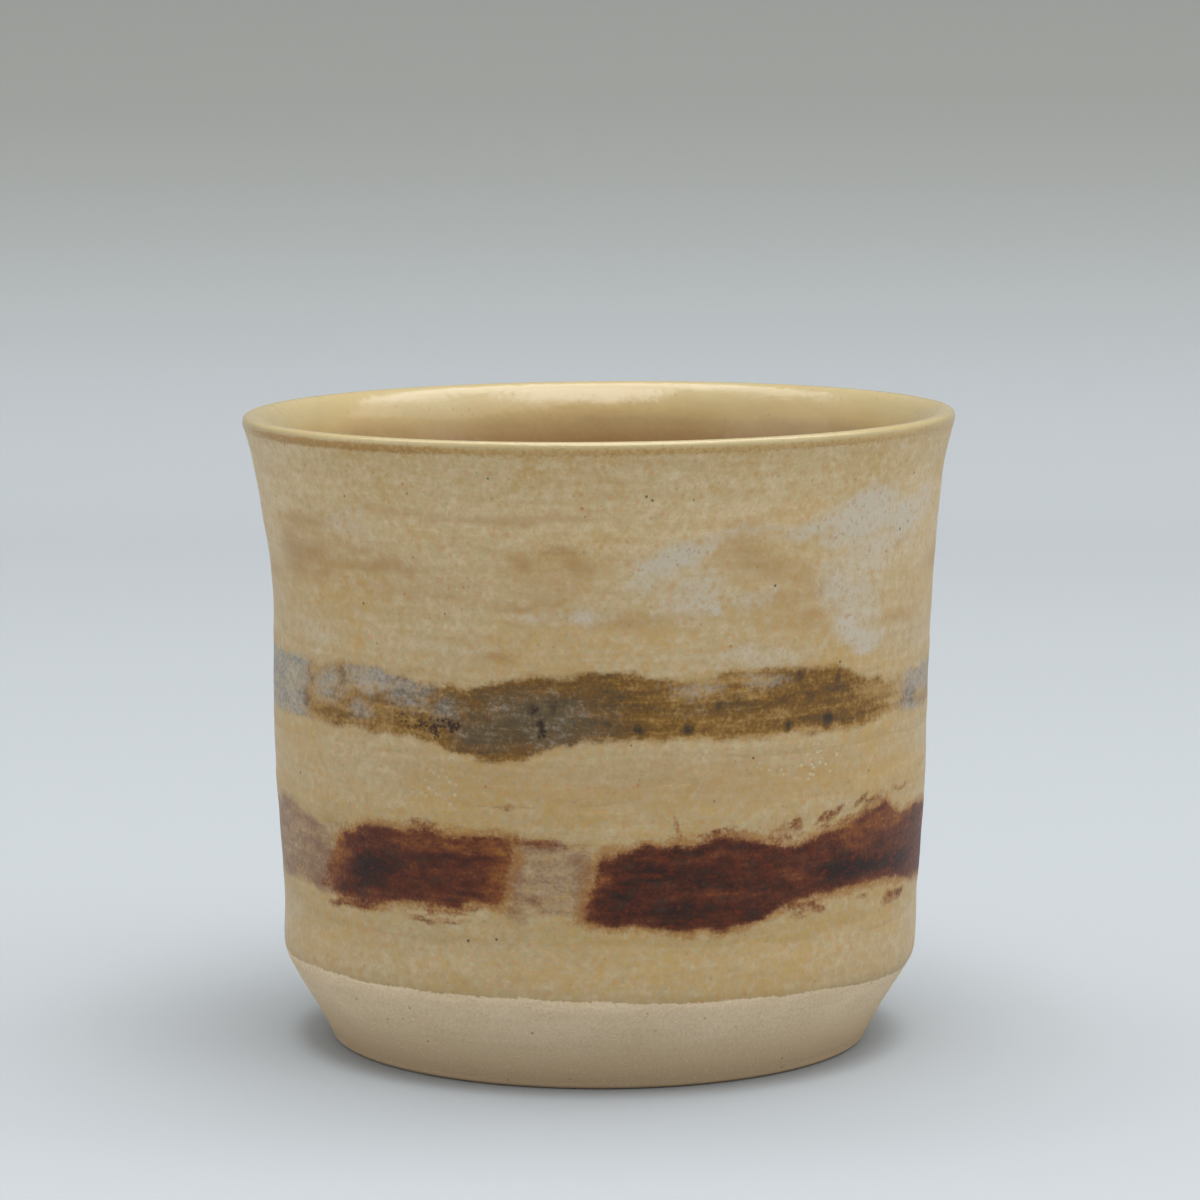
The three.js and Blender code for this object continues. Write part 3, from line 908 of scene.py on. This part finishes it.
def tan_glaze(nodes):
    """Colour and height of the satin glaze, which also shows at the margins of the strokes"""
    cloud = nodes.noise(6, detail=2, stretch=(2, 2, 1))
    light = nodes.noise(0.9, detail=5, roughness=0.75, offset=3.0)
    blush = nodes.noise(0.55, detail=3, roughness=0.75, offset=31.0)
    gold = nodes.noise(1.3, detail=5, roughness=0.8, offset=47.0)
    sand = nodes.noise(0.35, detail=2, roughness=0.7, offset=53.0)
    brushed = nodes.noise(0.7, detail=3, stretch=(9, 9, 1))
    smear = nodes.noise(1.2, detail=4, roughness=0.65, stretch=(4, 4, 1), offset=13.0)
    uneven = nodes.sum([(light, 0.8), (brushed, 0.35), (sand, 0.4)], -0.275)
    tans = [(0.2, TAN_DEEP), (0.5, TAN), (0.8, TAN_LIGHT)]
    colour = nodes.ramp(uneven, tans)
    # Lighter tans towards the lip: partly thinner glaze, partly painted light on the shaded upper wall
    thin_and_lit = nodes.ramp(uneven, [(stop, thinned_and_lit(shade)) for stop, shade in tans])
    colour = nodes.mix(nodes.field("high"), colour, thin_and_lit)
    colour = nodes.tint(colour, TAN_PINK, blush, 0.45, 0.9, 0.8)
    colour = nodes.tint(colour, TAN_OLIVE, blush, 0.55, 0.1, 0.7)
    golden = nodes.sum([(gold, 1.0), (cloud, 0.5), (sand, 0.8)], -0.65)
    colour = nodes.tint(colour, TAN_GOLD, golden, 0.38, 0.82, 0.85)
    swept = nodes.step(nodes.sum([(smear, 1.0), (light, 0.5), (sand, 0.4)], -0.45), 0.1, 0.55)
    dab = nodes.times(nodes.field("dab"), swept)
    colour = nodes.mix(dab, colour, tone(DAB_OLIVE))
    pale = nodes.sum([(nodes.field("pale"), 1.0), (light, 0.9), (gold, 0.7), (sand, 0.6), (brushed, 0.3)],
                     -1.25)
    colour = nodes.tint(colour, PALE_GLAZE, pale, 0.1, 0.9, 0.78)
    worn = nodes.noise(0.5, detail=3, roughness=0.7, offset=71.0)
    pits = nodes.times(nodes.step(pale, 0.25, 0.8), nodes.step(worn, 0.53, 0.7, 0.7))
    colour = nodes.mix(pits, colour, tone(PIT_BROWN))
    hem = nodes.sum([(nodes.field("hem"), 1.0), (gold, 0.8), (sand, 0.6)], -0.7)
    colour = nodes.tint(colour, TAN_DEEP, hem, 0.2, 1.0, 0.2)
    margin = nodes.sum([(nodes.field("margin"), 1.0), (sand, 1.6), (light, 1.0)], -1.3)
    colour = nodes.tint(colour, CLAY, margin, 0.5, 0.85, 0.8)
    lip = nodes.sum([(nodes.field("lip"), 1.0), (light, 1.2), (sand, 1.2)], -1.2)
    colour = nodes.tint(colour, LIP_BROWN, lip, 0.3, 1.1, 0.95)
    pinholes = nodes.times(nodes.field("pitted"), nodes.specks(0.75, 0.19, 3.0))
    colour = nodes.mix(nodes.times(pinholes, 0.6), colour, tone(TAN_LIGHT))
    colour = nodes.speckled(colour, GLAZE_SPECKS)
    height = nodes.sum([(light, 0.6), (blush, 0.3), (pinholes, -0.8)], 0.0)
    return colour, height


def outer_glaze_material():
    nodes = Nodes("tan_satin_glaze")
    colour, height = tan_glaze(nodes)
    roughness = nodes.sum([(nodes.noise(2.5, detail=2), 0.2)], 0.33)
    return nodes.finish(colour, roughness, height, 0.06, Specular_IOR_Level=0.25)


def iron_material():
    nodes = Nodes("iron_slip")
    colour, height = tan_glaze(nodes)
    ragged = nodes.noise(0.7, detail=4, roughness=0.65, stretch=(1.6, 1.6, 1), offset=1.0)
    blotch = nodes.noise(1.7, detail=4, roughness=0.65, stretch=(2, 2, 1), offset=5.0)
    streak = nodes.noise(0.6, detail=3, roughness=0.6, stretch=(9, 9, 1), offset=17.0)
    grain = nodes.noise(0.3, detail=2, roughness=0.6, offset=9.0)
    hue = nodes.noise(0.9, detail=4, roughness=0.7, stretch=(1.6, 1.6, 1), offset=23.0)
    washed = nodes.field("iron_wash")
    thin = nodes.sum([(blotch, 1.0), (grain, 0.6), (streak, 0.5), (ragged, 0.5)], -1.3)
    wash = nodes.math("MULTIPLY_ADD", nodes.step(washed, 0.0, 0.5), thin, washed)
    colour = nodes.tint(colour, IRON_WASHED, wash, 0.05, 0.95, 0.9)
    fringe = nodes.sum([(nodes.field("iron_fringe"), 0.7), (ragged, 0.9), (grain, 0.7)], -0.8)
    colour = nodes.tint(colour, IRON_TAN, fringe, 0.25, 0.75, 0.7)
    covered = nodes.field("iron_cover")
    rough_edge = nodes.sum([(ragged, 0.7), (grain, 0.5), (streak, 0.4)], -0.8)
    cover = nodes.math("MULTIPLY_ADD", nodes.step(covered, 0.0, 0.4), rough_edge, covered)
    cover = nodes.step(cover, 0.1, 0.75)
    uneven = nodes.sum([(ragged, 0.7), (blotch, 1.0), (streak, 0.55), (grain, 0.6)], -1.425)
    load = nodes.times(nodes.field("iron_load"), nodes.sum([(covered, 0.5)], 0.5))
    amount = nodes.sum([(uneven, 0.85)], load)
    slip = nodes.ramp(amount, [(0.0, IRON_TAN), (0.18, IRON_ORANGE), (0.38, IRON_RED), (0.58, IRON_DARK),
                               (0.78, IRON_DEEP), (1.0, IRON_BLACK)])
    thick = nodes.step(amount, 0.3, 0.6)
    slate = nodes.times(thick, nodes.step(hue, 0.5, 0.75, 0.7))
    slip = nodes.mix(slate, slip, tone(IRON_SLATE))
    rust = nodes.times(thick, nodes.step(hue, 0.5, 0.25, 0.8))
    slip = nodes.mix(rust, slip, tone(IRON_RUST))
    colour = nodes.mix(cover, colour, slip)
    height = nodes.math("MULTIPLY_ADD", cover, nodes.sum([(streak, 0.6)], 0.2), height)
    roughness = nodes.sum([(grain, 0.25)], 0.34)
    return nodes.finish(colour, roughness, height, 0.06, Specular_IOR_Level=0.14)


def olive_material(name):
    nodes = Nodes(name)
    colour, height = tan_glaze(nodes)
    ragged = nodes.noise(0.9, detail=4, roughness=0.65, stretch=(1.5, 1.5, 1), offset=2.0)
    grain = nodes.noise(0.35, detail=2, roughness=0.65, offset=19.0)
    streak = nodes.noise(0.6, detail=3, roughness=0.6, stretch=(8, 8, 1), offset=27.0)
    hue = nodes.noise(0.7, detail=3, roughness=0.7, offset=41.0)
    covered = nodes.field("olive_cover")
    uneven = nodes.sum([(ragged, 0.6), (grain, 0.7), (streak, 0.8)], -1.05)
    load = nodes.times(nodes.field("olive_load"), nodes.sum([(covered, 0.4)], 0.6))
    swing = nodes.sum([(nodes.step(load, 0.25, 0.55), 0.35)], 0.6)
    amount = nodes.math("MULTIPLY_ADD", uneven, swing, load)
    browns = [(0.05, OLIVE_THIN), (0.2, OLIVE_GOLD), (0.4, OLIVE_BROWN), (0.62, OLIVE_DEEP),
              (0.82, OLIVE_DARK), (1.0, OLIVE_BLACK)]
    greys = [(0.05, GREY_THIN), (0.22, GREY_PALE), (0.42, GREY_LILAC), (0.65, GREY_GREEN), (0.95, GREY_DEEP)]
    brown = nodes.ramp(amount, browns)
    grey = nodes.ramp(amount, greys)
    greyed = nodes.field("olive_grey")
    tint = nodes.sum([(greyed, 1.0), (hue, 1.0), (streak, 0.4)], -0.75)
    slip = nodes.mix(nodes.step(tint, 0.1, 0.9), brown, grey)
    slip = nodes.tint(slip, OLIVE_RED, hue, 0.5, 0.2, 0.5)
    green = nodes.sum([(greyed, 0.5), (grain, 1.2), (hue, -0.6)], -0.2)
    slip = nodes.tint(slip, GREEN_GRAIN, green, 0.45, 0.75, 0.5)
    rough_edge = nodes.sum([(ragged, 0.6), (grain, 0.5), (streak, 0.3)], -0.7)
    cover = nodes.math("MULTIPLY_ADD", nodes.step(covered, 0.0, 0.4), rough_edge, covered)
    dense = nodes.sum([(nodes.step(amount, 0.1, 0.55), 0.4)], 0.56)
    colour = nodes.mix(nodes.times(nodes.step(cover, 0.1, 0.85), dense), colour, slip)
    rusts = nodes.sum([(nodes.field("olive_rust"), 0.6), (hue, 1.4), (ragged, 0.8)], -1.1)
    colour = nodes.tint(colour, RUST, rusts, 0.6, 0.95, 0.8)
    pepper = nodes.field("olive_pepper")
    clusters = nodes.sum([(pepper, 0.5), (load, 0.2), (ragged, 1.4), (grain, 1.4)], -1.4)
    colour = nodes.tint(colour, PEPPER, clusters, 0.52, 0.78, 0.92)
    roughness = nodes.sum([(grain, 0.2)], 0.36)
    return nodes.finish(colour, roughness, height, 0.06, Specular_IOR_Level=0.14)


def liner_material():
    nodes = Nodes("honey_gloss_glaze")
    cloud = nodes.noise(9, detail=3, offset=7.0)
    grain = nodes.noise(0.5, detail=4, roughness=0.65, offset=4.0)
    sand = nodes.noise(0.35, detail=2, roughness=0.7, offset=53.0)
    depth = nodes.sum([(nodes.field("below_lip"), 1.0), (cloud, 0.4), (grain, 0.2)], -0.3)
    colour = nodes.ramp(depth, [(0.0, LIP_CREAM), (0.25, HONEY), (0.9, HONEY_DEEP)])
    pool = nodes.times(nodes.field("pool"), 0.5)
    colour = nodes.mix(pool, colour, tone(HONEY_DEEP))
    colour = nodes.mix(nodes.field("outside"), colour, tone(LIP_TAN))
    lip = nodes.sum([(nodes.field("lip"), 1.0), (grain, 1.2), (sand, 1.2)], -1.2)
    colour = nodes.tint(colour, LIP_BROWN, lip, 0.3, 1.1, 0.95)
    colour = nodes.speckled(colour, LINER_SPECKS)
    bumps = nodes.times(nodes.field("crest"), nodes.noise(1.0, detail=2, offset=15.0))
    height = nodes.sum([(nodes.noise(3.0, detail=2, offset=8.0), 1.0), (grain, 0.15), (bumps, 0.35)], 0.0)
    roughness = nodes.sum([(grain, 0.08), (nodes.field("lip"), 0.25)], 0.13)
    return nodes.finish(colour, roughness, height, 0.12, Specular_IOR_Level=0.42)


def clay_material():
    nodes = Nodes("bare_stoneware")
    cloud = nodes.noise(6, detail=3, offset=12.0)
    grain = nodes.noise(0.3, detail=3, roughness=0.75)
    drag = nodes.noise(0.5, detail=2, stretch=(10, 10, 1))
    sparkle = nodes.noise(0.24, detail=2, roughness=0.7, offset=35.0)
    uneven = nodes.sum([(cloud, 0.35), (grain, 0.8), (drag, 0.25)], -0.2)
    colour = nodes.ramp(uneven, [(0.3, CLAY_DARK), (0.65, CLAY)])
    # Painted shade: the bare clay turns darker towards the foot, where the floor near the contact shades it
    colour = nodes.mix(nodes.field("low"), colour, tone(CLAY_PAINTED_SHADE))
    white = nodes.step(sparkle, 0.58, 0.78)
    colour = nodes.mix(nodes.times(white, 0.5), colour, tone(CLAY_WHITE))
    colour = nodes.speckled(colour, CLAY_SPECKS)
    height = nodes.sum([(grain, 1.0), (white, 0.3), (drag, 0.4)], 0.0)
    return nodes.finish(colour, 0.85, height, 0.1, Specular_IOR_Level=0.3)


# Pieces
def clay_fields(angle, radius, height):
    # how strongly the painted shade near the foot darkens the clay
    return {"low": smooth(height, 6.5, 0.5)}


def clay_piece():
    """The thrown body: recessed foot, bare bevel, wall and inside, under its coats"""
    rows = []
    recess_edge = ring_inside - recess
    for share in np.linspace(0, 1, 24):
        ring_mark = FOOT_RINGS * math.sin(2 * math.pi * share * 6) * math.sin(math.pi * share)
        rows.append(ring_row(recess_edge * share, recess + ring_mark))
    for share in np.linspace(0, 1, 6)[1:]:
        rows.append(ring_row(recess_edge + recess * share, recess * (1 + math.cos(math.pi * share)) / 2))
    for share in np.linspace(0, 1, 8)[1:]:
        rows.append(ring_row(ring_inside + (standing_radius - ring_inside) * share, 0.0))
    edge_height = bevel_rows[0][0]
    edge_radius = outside_radius(ring_angles, edge_height) - GLAZE_STEP
    for turn in np.linspace(0, math.pi / 2, 6)[1:]:
        across = standing_radius + (edge_radius - standing_radius) * math.sin(turn)
        rows.append(ring_row(across, edge_height * (1 - math.cos(turn))))
    bevel_top = max(station[1] for station in GLAZE_LINE) + 1
    for height in np.linspace(edge_height, bevel_top, 34)[1:]:
        rows.append(ring_row(outside_radius(ring_angles, height) - GLAZE_STEP, height))
    seen = len(rows)
    for height in np.linspace(bevel_top, lip_start, 40)[1:]:
        rows.append(ring_row(outside_radius(ring_angles, height) - GLAZE_STEP, height))
    rows.extend(lip_rows(LINER_STEP, 9)[1:])
    rows.extend(inside_rows(LINER_STEP, 30, 8, 8))
    hidden = [index >= seen for index in range(len(rows))]
    turned_piece("thrown_clay_body", rows, hidden, clay_material(), clay_fields,
                 "clay_body", False)


def liner_fields(angle, radius, height):
    crest = wall(lip_start) - LIP_CREST
    corner = floor_top + floor_round * 0.5
    return {
        "lip": lip_line(angle, height) * smooth(radius, crest, crest + 0.5),
        "crest": smooth(cup_top - height, 1.2, 0.2),
        "outside": smooth(radius, crest + 0.2, crest + 0.7) * smooth(cup_top - height, 0.4, 0.8),
        "below_lip": smooth(cup_top - height, 0.2, 7.5) * smooth(radius, crest + 0.6, crest),
        "pool": smooth(height, corner + 3, corner - 3),
    }


def liner_piece():
    """The glossy coat: over the lip, down the inside and across the floor"""
    skirt = []
    for share in np.linspace(1, 0, 6)[:-1]:
        height = lip_start - LIP_OVERLAP * share
        skirt.append(ring_row(outside_radius(ring_angles, height) - OVERLAP_SINK * share, height))
    front = skirt + lip_rows(0.0, 33) + inside_rows(0.0, 90, 16, 30)
    back = lip_rows(COAT_DEPTH, 9) + inside_rows(COAT_DEPTH, 12, 6, 4)
    rows = back[::-1] + front
    hidden = [index < len(back) for index in range(len(rows))]
    turned_piece("inside_glaze", rows, hidden, liner_material(), liner_fields,
                 "liner_glaze", False)


def glaze_piece():
    """The satin coat outside, from its wavy lower edge to the lip"""
    line = glaze_line(ring_angles)
    rows = []
    climbs = np.concatenate([np.linspace(0, 1, 12)[:-1] ** 1.5 * 0.03, np.linspace(0.03, 1, 112)])
    for climb in climbs:
        height = line + (lip_start - line) * climb
        roll = 1 - (height - line) / GLAZE_ROLL
        edge = (GLAZE_STEP + EDGE_SINK) * smooth(roll, 0, 1)
        rows.append(ring_row(outside_radius(ring_angles, height) - edge, height))
    for share in np.linspace(0, 1, 5)[1:]:
        rows.append(lip_row(OVERLAP_SINK * share, LIP_OVERLAP * share))
    front = len(rows)
    for climb in np.linspace(1, 0, 8):
        height = line + (lip_start - line) * climb
        rows.append(ring_row(outside_radius(ring_angles, height) - COAT_DEPTH, height))
    hidden = [index >= front for index in range(len(rows))]
    turned_piece("outside_glaze", rows, hidden, outer_glaze_material(),
                 lambda angle, radius, height: glaze_fields(angle, height),
                 "outer_glaze", True)


def stroke_piece(name, node, material, layer, proud, edge_at, fields_at):
    """A thin layer of slip that rises out of the glaze wherever it is painted"""
    first, last, low, high = layer
    middle = (low + high) / 2
    columns = int(math.radians(last - first) * wall(middle) / STROKE_STEP)
    count = int((high - low) / STROKE_STEP)
    angles = np.linspace(first, last, columns)
    heights = np.linspace(low, high, count)
    angle, height = np.meshgrid(angles, heights)
    rise = smooth(edge_at(angle, height), -STROKE_REACH - STROKE_SLOPE, -STROKE_REACH + STROKE_SLOPE)
    lift = rise * (proud + STROKE_SINK) - STROKE_SINK
    border = np.minimum(np.minimum(height - low, high - height), np.minimum(angle - first, last - angle) / 2)
    lift = np.minimum(lift, border * BORDER_SLOPE - STROKE_SINK)
    radius = outside_radius(angle, height)
    front = place(angle, radius + lift, height)
    back = place(angle, radius - STROKE_BACK, height)
    points = np.concatenate([front, back[::-1]], axis=0)
    fields = fields_at(angle, height)
    for key, value in fields.items():
        fields[key] = np.concatenate([value, value[::-1]], axis=0)
    index = np.arange(2 * count * columns).reshape(2 * count, columns)
    faces = grid_faces(index, True, False)
    share = np.concatenate([np.linspace(0.01, 0.9, count), np.linspace(0.91, 0.98, count), [0.99]])
    row = np.repeat(np.arange(2 * count), columns - 1)
    column = np.tile(np.arange(columns - 1), 2 * count)
    uv = quad_uv(column / columns, (column + 1) / columns, share[row], share[row + 1])
    outer = index[:count]
    inner = index[::-1][:count]
    start_cap = np.stack([outer[:-1, 0], outer[1:, 0], inner[1:, 0], inner[:-1, 0]], -1)
    end_cap = np.stack([outer[:-1, -1], inner[:-1, -1], inner[1:, -1], outer[1:, -1]], -1)
    corner = np.ones(2 * (count - 1))
    cap_uv = quad_uv(0.995 * corner, 0.999 * corner, 0.995 * corner, 0.999 * corner)
    all_faces = np.concatenate([faces, start_cap, end_cap]).tolist()
    build_piece(name, points, all_faces, material, fields, node, np.concatenate([uv, cap_uv]))


def iron_reach(own_edge):
    """Where an iron layer shows: its own stroke and the thin marks round it"""
    return lambda angle, height: np.maximum(own_edge(angle, height), wisp_edge(angle, height, IRON_WISPS))


def short_reach(angle, height):
    """The short stroke's layer also holds the bare patch and the thin wash before its start"""
    washes = wisp_edge(angle, height, SHORT_WASHES)
    return np.maximum(iron_reach(short_edge)(angle, height), washes)


def stroke_pieces():
    iron = iron_material()
    olive = olive_material("olive_slip")
    grey = olive_material("grey_slip")
    stroke_piece("short_iron_stroke", "iron_stroke_short", iron,
                 SHORT_LAYER, STROKE_LIFT, short_reach, iron_fields)
    stroke_piece("long_iron_stroke", "iron_stroke_long", iron,
                 LONG_LAYER, OVER_LIFT, iron_reach(long_edge), iron_fields)
    stroke_piece("olive_stroke_front", "olive_stroke", olive,
                 OLIVE_LAYER, STROKE_LIFT, olive_edge, olive_fields)
    stroke_piece("grey_stroke_back", "grey_stroke", grey,
                 GREY_LAYER, OVER_LIFT, grey_edge, olive_fields)


# Stage, light and camera
CAMERA_DISTANCE = 406.82     # in front of the cup's axis
CAMERA_HEIGHT = 91.958
CAMERA_SIDE = 0.126
CAMERA_PITCH = 7.3577
LENS = 136.285
SENSOR = 36

FLOOR_FRONT = -600
FLOOR_SIDE = 900
SWEEP_START = 380
SWEEP_RADIUS = 160
BACKDROP_TOP = 900

# Lamps: degrees from the camera's side towards the right, elevation, metres away, width, height, watts
LAMPS = {
    "front_window": (13, 77, 1.3, 0.8, 0.7, 8.5),
    "right_window": (64, 12, 1.3, 0.5, 0.6, 1.2),
    "left_window": (-76, 14, 1.3, 1.1, 1.1, 3),
    "back_window": (180, 71, 1.6, 2.4, 0.85, 18),
    "overhead": (95, 70, 1.6, 2.4, 2.4, 22),
}
LAMP_TARGET = 0.03           # metres above the floor
WORLD_LIGHT = 0.73


def stage():
    """A pale floor that curves up into a backdrop"""
    outline = [(FLOOR_FRONT, 0.0), (SWEEP_START, 0.0)]
    for turn in np.linspace(0, math.pi / 2, 16)[1:]:
        outline.append((SWEEP_START + SWEEP_RADIUS * math.sin(turn), SWEEP_RADIUS * (1 - math.cos(turn))))
    outline.append((SWEEP_START + SWEEP_RADIUS, BACKDROP_TOP))
    points = [(side * FLOOR_SIDE * MM, y * MM, z * MM) for y, z in outline for side in (-1, 1)]
    faces = [(2 * row, 2 * row + 1, 2 * row + 3, 2 * row + 2) for row in range(len(outline) - 1)]
    mesh = bpy.data.meshes.new("floor")
    mesh.from_pydata(points, [], faces)
    mesh.shade_smooth()
    nodes = Nodes("studio_paper")
    separate = nodes.tree.nodes.new("ShaderNodeSeparateXYZ")
    nodes.tree.links.new(nodes.place, separate.inputs[0])
    rise = nodes.step(separate.outputs["Z"], 0.0, 0.08)
    colour = nodes.mix(rise, tone(FLOOR_TONE), tone(BACKDROP_TONE))
    mesh.materials.append(nodes.finish(colour, 0.9, nodes.noise(0.4), 0.02))
    floor = bpy.data.objects.new("floor", mesh)
    bpy.context.collection.objects.link(floor)


def area_light(name, azimuth, elevation, distance, width, height, power):
    """A soft light aimed at the cup"""
    data = bpy.data.lights.new(name, "AREA")
    data.shape = "RECTANGLE"
    data.size = width
    data.size_y = height
    data.energy = power
    light = bpy.data.objects.new(name, data)
    turn, rise = math.radians(azimuth), math.radians(elevation)
    light.location = (distance * math.cos(rise) * math.sin(turn),
                      -distance * math.cos(rise) * math.cos(turn),
                      distance * math.sin(rise) + LAMP_TARGET)
    light.rotation_euler = (math.pi / 2 - rise, 0, turn)
    bpy.context.collection.objects.link(light)


def lights():
    world = bpy.data.worlds.new("studio")
    world.use_nodes = True
    background = world.node_tree.nodes["Background"]
    background.inputs["Color"].default_value = (1.0, 1.0, 1.0, 1)
    background.inputs["Strength"].default_value = WORLD_LIGHT
    bpy.context.scene.world = world
    for name, settings in LAMPS.items():
        area_light(name, *settings)


def camera():
    data = bpy.data.cameras.new("camera")
    data.lens = LENS
    data.sensor_width = SENSOR
    data.sensor_fit = "HORIZONTAL"
    holder = bpy.data.objects.new("camera", data)
    holder.location = (CAMERA_SIDE * MM, -CAMERA_DISTANCE * MM, CAMERA_HEIGHT * MM)
    holder.rotation_euler = (math.radians(90 - CAMERA_PITCH), 0, 0)
    bpy.context.collection.objects.link(holder)
    bpy.context.scene.camera = holder


bpy.context.scene.view_settings.view_transform = "Standard"
camera()
lights()
stage()
clay_piece()
liner_piece()
glaze_piece()
stroke_pieces()
